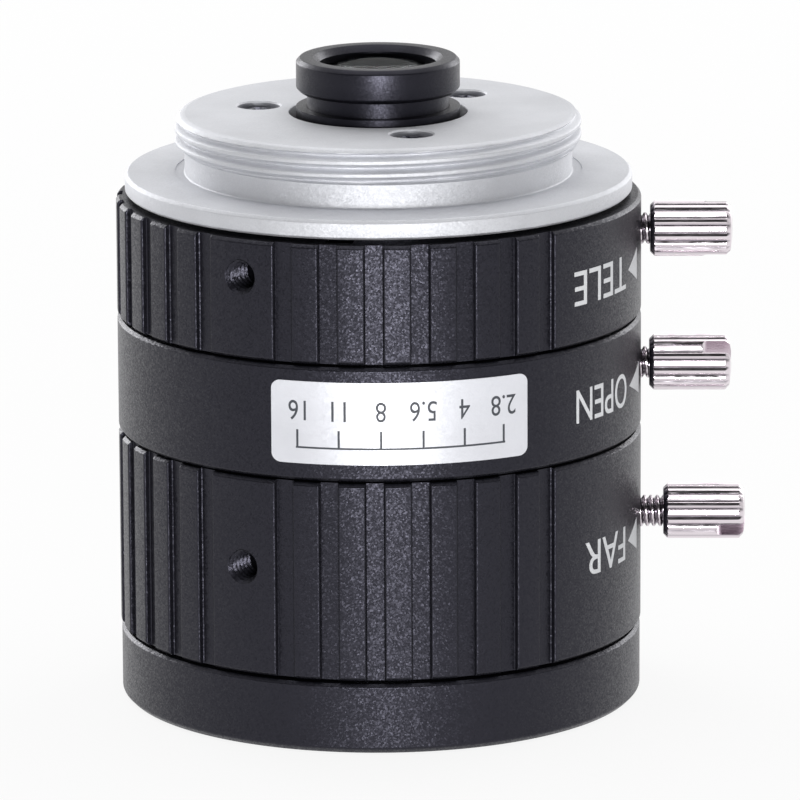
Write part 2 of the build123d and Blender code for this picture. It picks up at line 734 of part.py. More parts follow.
for name, height, gap, slot in (
    ("zoom", zoom_lock_z, zoom_tip_gap, zoom_slot_angle),
    ("iris", iris_lock_z, iris_tip_gap, iris_slot_angle),
    ("focus", focus_lock_z, focus_tip_gap, focus_slot_angle),
):
    parts[f"{name}_lock_screw"] = lock_screw(height, gap, slot)
    parts[f"{name}_lock_tip"] = lock_tip(height, gap)

for name, shape in parts.items():
    solids = shape if isinstance(shape, list) else [shape]
    export_step(Compound([solid for piece in solids for solid in piece.solids()]), f"parts/{name}.step")
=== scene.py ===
import json
import math

import bmesh
import bpy
from bpy.props import FloatProperty, FloatVectorProperty, PointerProperty
from mathutils import Matrix, Vector

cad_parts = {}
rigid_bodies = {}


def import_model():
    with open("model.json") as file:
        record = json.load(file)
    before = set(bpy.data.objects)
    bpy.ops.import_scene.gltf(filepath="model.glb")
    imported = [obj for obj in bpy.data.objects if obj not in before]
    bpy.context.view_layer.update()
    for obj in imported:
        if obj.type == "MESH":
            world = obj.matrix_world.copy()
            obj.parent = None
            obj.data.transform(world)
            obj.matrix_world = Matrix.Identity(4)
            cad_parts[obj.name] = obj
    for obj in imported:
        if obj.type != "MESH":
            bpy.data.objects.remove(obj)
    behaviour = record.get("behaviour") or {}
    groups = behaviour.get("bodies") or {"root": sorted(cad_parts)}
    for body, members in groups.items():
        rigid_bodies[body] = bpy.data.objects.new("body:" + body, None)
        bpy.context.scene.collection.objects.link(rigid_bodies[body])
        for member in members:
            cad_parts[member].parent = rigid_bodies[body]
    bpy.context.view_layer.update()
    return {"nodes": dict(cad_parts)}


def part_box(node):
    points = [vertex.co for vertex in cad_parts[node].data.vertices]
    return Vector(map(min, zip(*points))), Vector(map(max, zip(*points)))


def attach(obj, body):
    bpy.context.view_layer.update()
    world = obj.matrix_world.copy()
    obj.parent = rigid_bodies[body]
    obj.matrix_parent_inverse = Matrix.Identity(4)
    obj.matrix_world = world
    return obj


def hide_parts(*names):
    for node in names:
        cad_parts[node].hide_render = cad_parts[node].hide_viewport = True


bl_info = {
    "name": "Varifocal lens dressing",
    "version": (1, 0, 0),
    "blender": (4, 5, 0),
    "location": "View3D > Sidebar > Lens",
    "description": "Fine metalwork, markings, finishes and a studio for a C-mount varifocal lens",
    "category": "Object",
}

MM = 0.001
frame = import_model()

# Sizes in millimetres and angles in degrees that the fine pieces share with the solids they stand for
RING_BORE = 14.08
CAM_FLOOR = 15.3
PIN_SLOT = 1.7
CAM_RUN_OUT = 4  # turn of a cam groove past the pin at each limit
CAM_DEGREES_PER_MM = 4  # turn that moves a guide pin 1 mm along its groove's arc
GUIDE_ANGLES = (60, 180, 300)
SPARE_HOLES = (120, -120)
FLUTE_PITCH = 10
WORDS_REACH = 40  # the rings carry no flutes within this angle of the lock screws
LOCK_SCREWS = {
    # name: height, start of the stud, start of the head, turn of the driver slot
    "zoom": (29.64, 15.05, 17.0, 105),
    "iris": (21.04, 15.01, 16.96, 47),
    "focus": (11.4, 15.92, 17.87, -34),
}
# name: pin height above the ring's foot, turn in degrees, travel along the axis
CAMS = {"zoom_ring": (3.35, 76, 4.0), "focus_ring": (5.95, 76, -3.2)}


def linear(code):
    """An sRGB hex colour as linear red, green and blue."""
    parts = [int(code[i:i + 2], 16) / 255 for i in (1, 3, 5)]
    return tuple(c / 12.92 if c <= 0.04045 else ((c + 0.055) / 1.055) ** 2.4 for c in parts)


def length(name, description, millimetres):
    """A size that the user may change."""
    return FloatProperty(name=name, description=description, default=millimetres * MM,
                         min=0.0, unit="LENGTH", precision=5)


def colour(name, description, code):
    """A colour that the user may change."""
    return FloatVectorProperty(name=name, description=description, default=linear(code),
                               min=0.0, max=1.0, subtype="COLOR")


def mm(value):
    """Metres as millimetres."""
    return value / MM


def extent(node):
    """The lowest and highest corner of a CAD node in millimetres."""
    low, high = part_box(node)
    return low / MM, high / MM


class LensSizes(bpy.types.PropertyGroup):
    """Sizes of the fine metalwork."""

    ring_radius: length("Ring radius", "Outer radius of the control rings", 16.45)
    ring_chamfer: length("Ring chamfer", "Chamfer at both ends of a ring", 0.2)
    flute_width: length("Flute width", "Width of a grip flute", 1.15)
    flute_depth: length("Flute depth", "Depth of a grip flute", 0.4)
    flute_edge: length("Flute edge", "Rounding along a flute", 0.13)
    mount_pitch: length("Mount thread pitch", "Pitch of the camera thread", 25.4 / 32)
    mount_groove: length("Mount thread depth", "Depth of the camera thread", 0.42)
    filter_pitch: length("Filter thread pitch", "Pitch of the filter thread", 0.5)
    lock_pitch: length("Lock thread pitch", "Pitch of the lock screws", 0.4)
    lock_groove: length("Lock thread depth", "Depth of the lock screw thread", 0.2)
    knurl_depth: length("Knurl depth", "Depth of the straight knurls", 0.13)
    print_height: length("Marking height", "Cap height of the ring markings", 2.15)
    print_thickness: length("Marking thickness", "How far the paint stands on the metal", 0.02)


class LensFinishes(bpy.types.PropertyGroup):
    """Colours and surfaces of the materials."""

    black: colour("Black", "Black anodised rings", "#0b0b0f")
    silver: colour("Silver", "Clear anodised mount", "#d2d3d7")
    nickel: colour("Nickel", "Nickel plated screws", "#e2d9df")
    marking: colour("Markings", "Paint of the words and triangles", "#c9cacd")
    foil: colour("Foil", "Label foil", "#d8d9df")
    ink: colour("Ink", "Numbers on the label", "#3a3d44")


# Meshes are made in millimetres and scaled once, when they become pieces.

def soften(profile, closed=True):
    """Round the corners of a profile of (radius, height, fillet) points."""
    steps = 3
    out = []
    last = len(profile) - 1
    for i, (r, z, fillet) in enumerate(profile):
        here = Vector((r, z))
        if not fillet or not closed and i in (0, last):
            out.append((r, z))
            continue
        before = (Vector(profile[i - 1][:2]) - here).normalized()
        after = (Vector(profile[(i + 1) % len(profile)][:2]) - here).normalized()
        half = before.angle(after) / 2
        reach = fillet / math.tan(half)
        centre = here + (before + after).normalized() * fillet / math.sin(half)
        start = here + before * reach - centre
        turn = math.pi - 2 * half
        if before.x * after.y - before.y * after.x > 0:
            turn = -turn
        for k in range(steps + 1):
            a = turn * k / steps
            out.append((centre.x + start.x * math.cos(a) - start.y * math.sin(a),
                        centre.y + start.x * math.sin(a) + start.y * math.cos(a)))
    return out


def even_columns(count):
    """Columns all round, with no limit to their radius."""
    return [(360 * i / count, math.inf) for i in range(count)]


def spin(columns, section, closed=True):
    """Sweep a section round the axis. Each column is an angle and its greatest radius."""
    bm = bmesh.new()
    grid = []
    for angle, limit in columns:
        a = math.radians(angle)
        grid.append([bm.verts.new((min(r, limit) * math.cos(a), min(r, limit) * math.sin(a), z))
                     for r, z in section(angle)])
    rows = len(grid[0])
    for i, column in enumerate(grid):
        after = grid[(i + 1) % len(grid)]
        for k in range(rows if closed else rows - 1):
            n = (k + 1) % rows
            bm.faces.new((column[k], after[k], after[n], column[n]))
    return tidy(bm)


def ladder(sections):
    """A closed solid through a row of equal polygons."""
    bm = bmesh.new()
    rungs = [[bm.verts.new(point) for point in section] for section in sections]
    for first, second in zip(rungs, rungs[1:]):
        for k in range(len(first)):
            n = (k + 1) % len(first)
            bm.faces.new((first[k], first[n], second[n], second[k]))
    bm.faces.new(rungs[0])
    bm.faces.new(rungs[-1])
    return tidy(bm)


def tidy(bm):
    """A mesh without doubled or crushed faces, its normals outward."""
    bmesh.ops.remove_doubles(bm, verts=bm.verts, dist=1e-5)
    bmesh.ops.dissolve_degenerate(bm, edges=bm.edges, dist=1e-6)
    bmesh.ops.recalc_face_normals(bm, faces=bm.faces)
    mesh = bpy.data.meshes.new("work")
    bm.to_mesh(mesh)
    bm.free()
    return mesh


def carve(mesh, cutters):
    """Cut closed meshes out of a mesh, all in one exact step."""
    scene = bpy.context.scene
    target = bpy.data.objects.new("target", mesh)
    scene.collection.objects.link(target)
    tools = bpy.data.collections.new("tools")
    scene.collection.children.link(tools)
    for cutter in cutters:
        tools.objects.link(bpy.data.objects.new("tool", cutter))
    step = target.modifiers.new("carve", "BOOLEAN")
    step.operation = "DIFFERENCE"
    step.operand_type = "COLLECTION"
    step.collection = tools
    step.solver = "EXACT"
    shaped = target.evaluated_get(bpy.context.evaluated_depsgraph_get())
    carved = bpy.data.meshes.new_from_object(shaped)
    for tool in list(tools.objects):
        bpy.data.objects.remove(tool)
    bpy.data.collections.remove(tools)
    bpy.data.objects.remove(target)
    if len(carved.polygons) < len(mesh.polygons) / 2:
        raise RuntimeError(f"a cut took most of {mesh.name} away")
    return carved


def merge(meshes):
    """Several meshes as one, their parts kept apart."""
    bm = bmesh.new()
    for mesh in meshes:
        bm.from_mesh(mesh)
    made = bpy.data.meshes.new("work")
    bm.to_mesh(made)
    bm.free()
    return made


def placed(mesh, matrix):
    """The mesh itself, moved by a matrix."""
    mesh.transform(matrix)
    return mesh


def radial_frame(angle, height):
    """Local z points outward at that angle, local x runs level and local y down."""
    out = Vector((math.cos(math.radians(angle)), math.sin(math.radians(angle)), 0))
    level = Vector((out.y, -out.x, 0))
    matrix = Matrix((level, (0, 0, -1), out)).transposed().to_4x4()
    matrix.translation = (0, 0, height)
    return matrix


def thread_radius(height, angle, pitch, crest, groove):
    """The radius of a right-hand thread: rounded crests and a rounded root."""
    share = abs(2 * ((height / pitch - angle / 360) % 1) - 1)
    return crest - groove * (0.5 + 0.5 * math.cos(math.pi * min(share / 0.8, 1)))


def heights(low, high, step):
    """Even steps from low to high, none longer than step."""
    count = math.ceil((high - low) / step)
    return [low + (high - low) * k / count for k in range(count + 1)]


def piece(name, mesh, body, slot, finish, *nodes, sharp=30):
    """A finished piece: scaled to metres, smooth but for its edges, riding on its body."""
    mesh.name = name
    mesh.transform(Matrix.Scale(MM, 4))
    mesh.polygons.foreach_set("use_smooth", [True] * len(mesh.polygons))
    mesh.set_sharp_from_angle(angle=math.radians(sharp))
    mesh.materials.clear()
    mesh.materials.append(material(finish))
    made = bpy.data.objects.new(name, mesh)
    bpy.context.scene.collection.objects.link(made)
    even = made.modifiers.new("even normals", "WEIGHTED_NORMAL")
    even.keep_sharp = True
    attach(made, body)
    if nodes:
        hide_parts(*nodes)


# Materials

def node(tree, kind, sockets, **settings):
    """Add a node with its settings, and set or link its sockets."""
    made = tree.nodes.new(kind)
    for key, value in settings.items():
        setattr(made, key, value)
    for key, value in sockets.items():
        if isinstance(value, bpy.types.NodeSocket):
            tree.links.new(value, made.inputs[key])
        else:
            made.inputs[key].default_value = value
    return made


def per_metre(millimetres):
    """The scale of a pattern whose features are this many millimetres apart."""
    return 1 / (millimetres * MM)


def facets(tree, place, grain, tilt):
    """A normal that leans a little another way on each blast crater, so that some of them glint."""
    cells = node(tree, "ShaderNodeTexVoronoi", {"Vector": place, "Scale": per_metre(grain)})
    lean = node(tree, "ShaderNodeVectorMath", {0: cells.outputs["Color"], 1: (0.5, 0.5, 0.5)},
                operation="SUBTRACT")
    lean = node(tree, "ShaderNodeVectorMath", {0: lean.outputs[0], "Scale": tilt}, operation="SCALE")
    flat = node(tree, "ShaderNodeNewGeometry", {}).outputs["Normal"]
    tipped = node(tree, "ShaderNodeVectorMath", {0: flat, 1: lean.outputs[0]}, operation="ADD")
    return node(tree, "ShaderNodeVectorMath", {0: tipped.outputs[0]}, operation="NORMALIZE").outputs[0]


def blasted(tree, shader, tone, grain, tilt, rough):
    """A blasted surface: craters of that grain in millimetres that glint, uneven in gloss and tone."""
    place = node(tree, "ShaderNodeTexCoord", {}).outputs["Object"]
    craters = node(tree, "ShaderNodeTexNoise", {"Vector": place, "Scale": per_metre(grain), "Detail": 2.0,
                                               "Roughness": 0.6})
    cloud = node(tree, "ShaderNodeTexNoise", {"Vector": place, "Scale": per_metre(6), "Detail": 3.0})
    gloss = node(tree, "ShaderNodeMapRange", {"Value": craters.outputs["Fac"], "From Min": 0.3, "From Max": 0.7,
                                              "To Min": rough - 0.06, "To Max": rough + 0.06})
    shade = node(tree, "ShaderNodeMapRange", {"Value": cloud.outputs["Fac"], "From Min": 0.3, "From Max": 0.7,
                                              "To Min": 0.94, "To Max": 1.06})
    tint = node(tree, "ShaderNodeMix", {0: 1.0, 6: (*tone, 1.0), 7: shade.outputs["Result"]},
                data_type="RGBA", blend_type="MULTIPLY")
    tree.links.new(tint.outputs[2], shader.inputs["Base Color"])
    tree.links.new(gloss.outputs["Result"], shader.inputs["Roughness"])
    tree.links.new(facets(tree, place, grain, tilt), shader.inputs["Normal"])


def dyed_sheen(shader):
    """The violet-grey reflection of a dyed oxide layer."""
    shader.inputs["Specular IOR Level"].default_value = 0.42
    shader.inputs["Specular Tint"].default_value = (0.8, 0.79, 1.0, 1.0)


def black_anodised(tree, shader, f):
    # Bead-blasted aluminium, dyed black: charcoal with a violet cast, sparkling where the light falls on it.
    # Real blast craters are about 0.05 mm across, drawn at 0.09 mm so that they show.
    blasted(tree, shader, f.black, grain=0.09, tilt=0.22, rough=0.36)
    dyed_sheen(shader)


def satin_black(tree, shader, f):
    # Finely turned aluminium, dyed black: smoother than the rings, with a soft sheen.
    blasted(tree, shader, f.black, grain=0.09, tilt=0.07, rough=0.36)
    dyed_sheen(shader)


def black_inner(tree, shader, f):
    # Matt black lacquer over turned threads inside the tube: swallows stray light.
    blasted(tree, shader, tuple(0.5 * c for c in f.black), grain=0.12, tilt=0.2, rough=0.75)
    shader.inputs["Specular IOR Level"].default_value = 0.25


def silver_anodised(tree, shader, f):
    # Bead-blasted aluminium, clear anodised: pale satin silver with a bright grain.
    blasted(tree, shader, f.silver, grain=0.09, tilt=0.15, rough=0.66)
    shader.inputs["Metallic"].default_value = 1.0


def nickel(tree, shader, f):
    # Bright nickel on turned brass: a warm mirror, its colour darkened down in the knurls and the stud's thread as
    # painted shade.
    place = node(tree, "ShaderNodeTexCoord", {}).outputs["Object"]
    stretch = node(tree, "ShaderNodeMapping", {"Vector": place, "Scale": (0.15, 1.0, 1.0)})
    marks = node(tree, "ShaderNodeTexNoise", {"Vector": stretch.outputs["Vector"], "Scale": per_metre(0.12),
                                             "Detail": 3.0})
    # Painted shade: the recess value mixes a dark grey into the nickel where the surface lies deep.
    recess = node(tree, "ShaderNodeAttribute", {}, attribute_name="recess")
    painted_shade_tone = node(tree, "ShaderNodeMix", {0: recess.outputs["Fac"], 6: (*f.nickel, 1.0),
                                        7: (*linear("#77737b"), 1.0)}, data_type="RGBA")
    gloss = node(tree, "ShaderNodeMapRange", {"Value": marks.outputs["Fac"], "From Min": 0.35, "From Max": 0.65,
                                              "To Min": 0.1, "To Max": 0.26})
    bump = node(tree, "ShaderNodeBump", {"Height": marks.outputs["Fac"], "Strength": 0.6, "Distance": 0.006 * MM})
    tree.links.new(painted_shade_tone.outputs[2], shader.inputs["Base Color"])
    tree.links.new(gloss.outputs["Result"], shader.inputs["Roughness"])
    tree.links.new(bump.outputs["Normal"], shader.inputs["Normal"])
    shader.inputs["Metallic"].default_value = 1.0


def nickel_painted_shade(tree, shader, f):
    # The same nickel on small cross-recess screws that lie in shade, that shade painted into its dark, bluish base
    # colour: an uneven mirror.
    blasted(tree, shader, linear("#74747f"), grain=0.2, tilt=0.12, rough=0.24)
    shader.inputs["Metallic"].default_value = 1.0


def plain_metal(tree, shader, code, rough):
    """A bare metal with a fine grain."""
    blasted(tree, shader, linear(code), grain=0.1, tilt=0.1, rough=rough)
    shader.inputs["Metallic"].default_value = 1.0


def tip_brass(tree, shader, f):
    # Turned brass, left bare: yellow and softly bright.
    plain_metal(tree, shader, "#c9a75a", rough=0.3)


def pin_steel(tree, shader, f):
    # Ground steel pins: grey and fairly bright.
    plain_metal(tree, shader, "#a9abae", rough=0.22)


def blade_steel(tree, shader, f):
    # Blackened spring steel: dark grey blades with a low sheen.
    plain_metal(tree, shader, "#3a3b40", rough=0.4)


def coated_glass(tree, shader, f):
    # Optical glass with an anti-reflection coating: clear and dark, with faint glints.
    clear = (*linear("#f4f7f8"), 1.0)
    shader.inputs["Base Color"].default_value = clear
    shader.inputs["Roughness"].default_value = 0.02
    shader.inputs["Transmission Weight"].default_value = 1.0
    shader.inputs["IOR"].default_value = 1.52
    shader.inputs["Specular IOR Level"].default_value = 0.05
    # The coating takes most of the reflection away, which leaves the light that goes through.
    coating = 0.85
    through = node(tree, "ShaderNodeBsdfRefraction", {"Color": clear, "Roughness": 0.02, "IOR": 1.52})
    mix = node(tree, "ShaderNodeMixShader", {0: coating, 1: shader.outputs[0], 2: through.outputs[0]})
    tree.links.new(mix.outputs[0], tree.nodes["Material Output"].inputs["Surface"])


def label_foil(tree, shader, f):
    # Satin aluminium foil under a clear film: near white, brightest where it faces the light.
    blasted(tree, shader, f.foil, grain=0.2, tilt=0.04, rough=0.34)
    shader.inputs["Metallic"].default_value = 0.55
    shader.inputs["Coat Weight"].default_value = 0.3


def ink(tree, shader, f):
    # Screen-printed ink: dark grey, slightly satin.
    blasted(tree, shader, f.ink, grain=0.15, tilt=0.05, rough=0.5)


def marking_paint(tree, shader, f):
    # Paint filled into engraved words: pale grey and matt, a little uneven.
    blasted(tree, shader, f.marking, grain=0.12, tilt=0.2, rough=0.6)


FINISHES = {make.__name__: make for make in (
    black_anodised, satin_black, black_inner, silver_anodised, nickel, nickel_painted_shade, tip_brass, pin_steel,
    blade_steel, coated_glass, label_foil, ink, marking_paint,
)}


def material(name):
    """The finish with that name, made on first use."""
    title = f"{name}_finish"
    found = bpy.data.materials.get(title)
    if found:
        return found
    made = bpy.data.materials.new(title)
    made.use_nodes = True
    tree = made.node_tree
    FINISHES[name](tree, tree.nodes["Principled BSDF"], bpy.context.scene.lens_finishes)
    return made


# Pieces

def ring_columns(s):
    """Columns of a grip ring: fluted every tenth degree, plain at the words and the spare holes."""
    radius, half, edge = mm(s.ring_radius), mm(s.flute_width) / 2, mm(s.flute_edge)
    floor = radius - mm(s.flute_depth)
    shoulder = math.sqrt(radius ** 2 - (half + edge) ** 2) - edge
    rounding = [math.radians(a) for a in (0, 22.5, 45, 67.5, 90)]
    flank = [(half + edge * (1 - math.sin(a)), shoulder + edge * math.cos(a)) for a in rounding]
    flank += [(half, floor + 0.05), (half - 0.05, floor)]
    across = [(-x, d) for x, d in flank] + [(0, floor)] + flank[::-1]
    centres = [a for a in range(-180, 180, FLUTE_PITCH) if abs(a) > WORDS_REACH and a not in SPARE_HOLES]
    columns = []
    for i, centre in enumerate(centres):
        columns += [(centre + math.degrees(math.atan2(x, d)), math.hypot(x, d)) for x, d in across]
        here = columns[-1][0]
        there = centres[(i + 1) % len(centres)] + math.degrees(math.atan2(*across[0]))
        gap = (there - here) % 360
        count = math.ceil(gap / 2)
        columns += [(here + gap * k / count, radius) for k in range(1, count)]
    return columns


def ring_profile(s, foot, top):
    """The section of a control ring."""
    radius, chamfer = mm(s.ring_radius), mm(s.ring_chamfer)
    return soften([
        (RING_BORE, foot, 0.08), (radius - chamfer, foot, 0.06), (radius, foot + chamfer, 0.12),
        (radius, top - chamfer, 0.12), (radius - chamfer, top, 0.06), (RING_BORE, top, 0.08),
    ])


def tapped_hole(s, angle, height, clearance=0.03):
    """A cutter for a threaded hole, with a broken edge at its mouth."""
    inner, mouth = RING_BORE - 0.5, mm(s.ring_radius)
    crest, broken_edge = 1.0, 1.12

    def section(a):
        rows = []
        for z in heights(inner, mouth + 1, 0.05):
            thread = thread_radius(z, a, mm(s.lock_pitch), crest + clearance, mm(s.lock_groove))
            rows.append((max(thread, broken_edge - (mouth - z)), z))
        return [(0, inner)] + rows + [(0, mouth + 1)]

    return placed(spin(even_columns(40), section, closed=False), radial_frame(angle, height))


def cam_groove(angle, pin_z, turn, travel, top):
    """Cutters for a helical groove in a ring's bore and its lead-in from the rear."""
    half = turn / 2 + CAM_RUN_OUT
    slope = math.atan(travel / turn * CAM_DEGREES_PER_MM)
    low, high, width = RING_BORE - 0.3, CAM_FLOOR, PIN_SLOT / 2 / math.cos(slope)
    steps = 24
    sections = []
    for k in range(steps + 1):
        a = math.radians(angle - half + 2 * half * k / steps)
        z = pin_z - travel * (math.degrees(a) - angle) / turn
        sections.append([(r * math.cos(a), r * math.sin(a), z + dz)
                         for r, dz in ((low, -width), (high, -width), (high, width), (low, width))])
    entry = math.radians(angle - math.copysign(turn / 2, travel))
    entry_z = pin_z + abs(travel) / 2
    out = Vector((math.cos(entry), math.sin(entry), 0))
    side = Vector((-out.y, out.x, 0)) * PIN_SLOT / 2
    corners = ((low, -1), (high + 0.1, -1), (high + 0.1, 1), (low, 1))
    box = [[out * r + side * w + Vector((0, 0, z)) for r, w in corners] for z in (entry_z, top + 1)]
    return [ladder(sections), ladder(box)]


def grip_ring(s, node_name, lock):
    """A fluted ring with its cams, its threaded lock hole and its two spare holes."""
    low, high = extent(node_name)
    foot, top = low.z, high.z
    mesh = spin(ring_columns(s), lambda angle: ring_profile(s, foot, top))
    height = LOCK_SCREWS[lock][0]
    pin, turn, travel = CAMS[node_name]
    cutters = [tapped_hole(s, angle, height) for angle in SPARE_HOLES]
    cutters.append(tapped_hole(s, 0, height, clearance=0.06))
    for angle in GUIDE_ANGLES:
        cutters += cam_groove(angle, foot + pin, turn, travel, top)
    piece(f"{lock}_ring_fluted", carve(mesh, cutters), node_name, "black_anodised", "black_anodised", node_name)


def iris_ring(s):
    """The smooth ring with its lock hole and the keyway of its drive pin."""
    low, high = extent("iris_ring")
    mesh = spin(even_columns(180), lambda angle: ring_profile(s, low.z, high.z))
    pin = extent("iris_drive_pin")
    pin_z = (pin[0].z + pin[1].z) / 2
    inner, half = RING_BORE - 0.5, 0.65
    corners = ((inner, -half), (CAM_FLOOR, -half), (CAM_FLOOR, half), (inner, half))
    keyway = [[(-r, w, z) for r, w in corners] for z in (pin_z - half, high.z + 1)]
    cutters = [tapped_hole(s, 0, LOCK_SCREWS["iris"][0], clearance=0.06), ladder(keyway)]
    piece("iris_ring_smooth", carve(mesh, cutters), "iris_ring", "black_anodised", "black_anodised", "iris_ring")


def bezel(s):
    """The front ring with its filter thread."""
    _, high = extent("front_bezel")
    outer, top = high.x, high.z
    thread_bore, groove, mouth = 15.0, 0.25, 15.35
    seat_bore, ledge_bore, ledge_foot, ledge_top = 14.03, 13.35, 2.3, 2.7
    rim = soften([
        (mouth, 0, 0), (outer - 0.35, 0, 0.25), (outer, 0.35, 0.25), (outer, top - 0.2, 0.1),
        (outer - 0.2, top, 0.06), (seat_bore, top, 0.05), (seat_bore, ledge_top, 0), (ledge_bore, ledge_top, 0.06),
        (ledge_bore, ledge_foot, 0.06), (thread_bore, ledge_foot, 0),
    ], closed=False)

    def section(angle):
        thread = []
        for z in heights(0.25, 2.2, 0.04):
            cut = thread_radius(z, angle, mm(s.filter_pitch), thread_bore + groove, groove)
            thread.append((max(cut, mouth - z), z))
        return rim + thread[::-1]

    piece("front_bezel_threaded", spin(even_columns(180), section), "barrel", "black_anodised", "black_anodised",
          "front_bezel")


def screw_places():
    """The places of the three mount screws."""
    first, circle = -73.6, 7.75
    return [Matrix.Rotation(math.radians(first + 120 * i), 4, "Z") @ Matrix.Translation((circle, 0, 0))
            for i in range(3)]


def turned(profile):
    """A small turned solid whose profile starts and ends on its axis."""
    return spin(even_columns(48), lambda angle: profile, closed=False)


def mount(s):
    """The camera mount: flange, relief, thread and three sunk screw holes."""
    low, high = extent("c_mount")
    foot, top, outer = low.z, high.z, high.x
    face = foot + 1.21
    socket, cell_hole, wall = 10.45, 5.57, 2
    crest, relief, seat, sunk = 12.7, 12.12, 12.75, 0.06
    relief_top = face - sunk + 1.5

    def section(angle):
        thread = []
        for z in heights(relief_top, top - 0.08, 0.035):
            cut = thread_radius(z - top + 0.8, angle + 90, mm(s.mount_pitch), crest, mm(s.mount_groove))
            lead_in = relief + 0.02 + 1.1 * (z - relief_top)
            lead_out = crest + 0.02 - max(0, z - (top - 0.5)) ** 1.3 * 1.1
            thread.append((min(cut, lead_in, lead_out), z))
        base = soften([
            (socket, foot, 0), (outer - 0.15, foot, 0.08), (outer, foot + 0.15, 0.1), (outer, face - 0.2, 0.12),
            (outer - 0.2, face, 0.1), (seat, face, 0), (seat, face - sunk, 0), (relief, face - sunk, 0.12),
            (relief, relief_top, 0),
        ], closed=False)
        land = soften([
            (*thread[-1], 0), (crest - 0.62, top, 0.08), (cell_hole, top, 0.08), (cell_hole, top - wall, 0),
            (socket, top - wall, 0),
        ], closed=False)
        return base[:-1] + thread + land[1:]

    through, counterbore, depth = 0.85, 1.35, 0.85
    hole = [(0, top - 3), (through, top - 3), (through, top - depth), (counterbore, top - depth),
            (counterbore, top - 0.1), (counterbore + 0.2, top + 0.1), (counterbore + 0.2, top + 1), (0, top + 1)]
    cutters = [placed(turned(hole), place) for place in screw_places()]
    mesh = carve(spin(even_columns(240), section), cutters)
    piece("camera_mount", mesh, "barrel", "silver_anodised", "silver_anodised", "c_mount")


def mount_screws(s):
    """Three small screws with domed heads and tapered cross recesses."""
    low, high = extent("mount_screws")
    foot, top = low.z, high.z
    head = top - 0.6
    shank, rim, wide, deep, recess_turn = 0.8, 1.3, 1.0, 0.4, 20
    profile = soften([
        (0, foot, 0), (shank, foot, 0.1), (shank, head, 0), (rim, head, 0.04), (rim, top - 0.12, 0.12),
        (0.6, top, 0.3), (0, top, 0),
    ], closed=False)
    screws = []
    for place in screw_places():
        blades = []
        for turn in (0, 90):
            section = [[(x, y, z) for x, y in ((-w, -t), (w, -t), (w, t), (-w, t))]
                       for w, t, z in ((wide / 2, 0.1, top - deep), (wide, 0.2, top + 0.1))]
            blades.append(placed(ladder(section), Matrix.Rotation(math.radians(turn + recess_turn), 4, "Z")))
        screws.append(placed(carve(turned(profile), blades), place))
    # Painted shade: the mount screws take the nickel darkened and tinted blue.
    piece("mount_screws_fine", merge(screws), "barrel", "nickel", "nickel_painted_shade", "mount_screws")


def shade_recess(mesh, depth):
    """Store how far down in a hollow each vertex lies, from 0 to 1, as the strength of the painted shade in the
    nickel.
    """
    layer = mesh.attributes.new("recess", "FLOAT", "POINT")
    layer.data.foreach_set("value", [min(1.0, max(0.0, depth(v.co))) for v in mesh.vertices])


def rear_cell(s):
    """The bevelled tube that holds the rear lens, with its grooved neck."""
    low, high = extent("rear_cell")
    foot, top, head = low.z, high.z, high.x
    shoulder = top - 2.12
    bore, neck, opening, lens_seat, bevel = 3.9, 4.45, 3.65, top - 0.85, 0.25
    profile = soften([
        (bore, foot, 0), (neck, foot, 0.05), (neck, shoulder, 0.08), (head - bevel, shoulder, 0.08),
        (head, shoulder + bevel, 0.15), (head, top - bevel, 0.15), (head - bevel, top, 0.1),
        (opening + 0.4, top, 0.06), (opening, top - 0.4, 0.04), (opening, lens_seat, 0), (bore, lens_seat, 0),
    ])
    mesh = spin(even_columns(160), lambda angle: profile)
    piece("rear_cell_bevelled", mesh, "zoom_group", "satin_black", "satin_black", "rear_cell")


